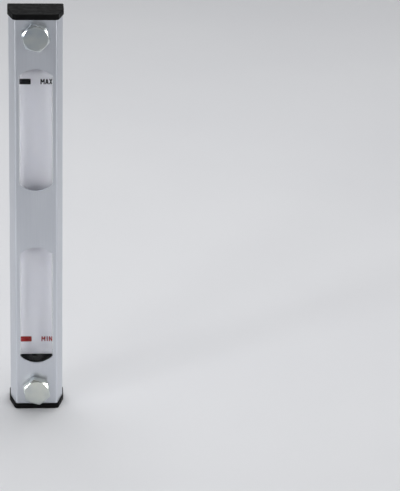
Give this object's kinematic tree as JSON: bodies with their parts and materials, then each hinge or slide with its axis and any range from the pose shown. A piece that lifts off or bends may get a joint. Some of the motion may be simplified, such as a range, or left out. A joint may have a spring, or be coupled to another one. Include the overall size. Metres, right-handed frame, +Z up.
{
  "type": "tank level gauge",
  "caption": "Sight gauge for an oil tank: a clear tube with a scale strip in a windowed aluminium shroud, held between black end heads by hollow bolts that feed it.",
  "frame": {"origin": "on the plane where the heads meet the tank wall, midway between the two bolt axes", "axes": "+Z up along the gauge, from the lower bolt to the upper one; +Y into the tank, along the bolts, so that the windows face -Y; +X to the right as seen from the front"},
  "size_m": [0.0374, 0.0522, 0.2838],
  "materials": {
    "anodised_aluminium": "satin, clear anodised, with fine lines along the profile",
    "black_nylon": "moulded, fine matte grain",
    "clear_tube": "clear moulded plastic, glossy",
    "white_strip": "smooth white plastic with a printed scale",
    "black_rubber": "soft satin",
    "zinc_plate": "bright zinc plate, faintly blue"
  },
  "bodies": {
    "root": {"shroud": "anodised_aluminium", "sight_tube": "clear_tube", "scale_strip": "white_strip", "upper_head": "black_nylon", "upper_tube_seal": "black_rubber", "upper_tank_seal": "black_rubber", "upper_front_seal": "black_rubber", "upper_hollow_bolt": "zinc_plate", "upper_flange_nut": "zinc_plate", "lower_head": "black_nylon", "lower_tube_seal": "black_rubber", "lower_tank_seal": "black_rubber", "lower_front_seal": "black_rubber", "lower_hollow_bolt": "zinc_plate", "lower_flange_nut": "zinc_plate"}
  },
  "joints": []
}
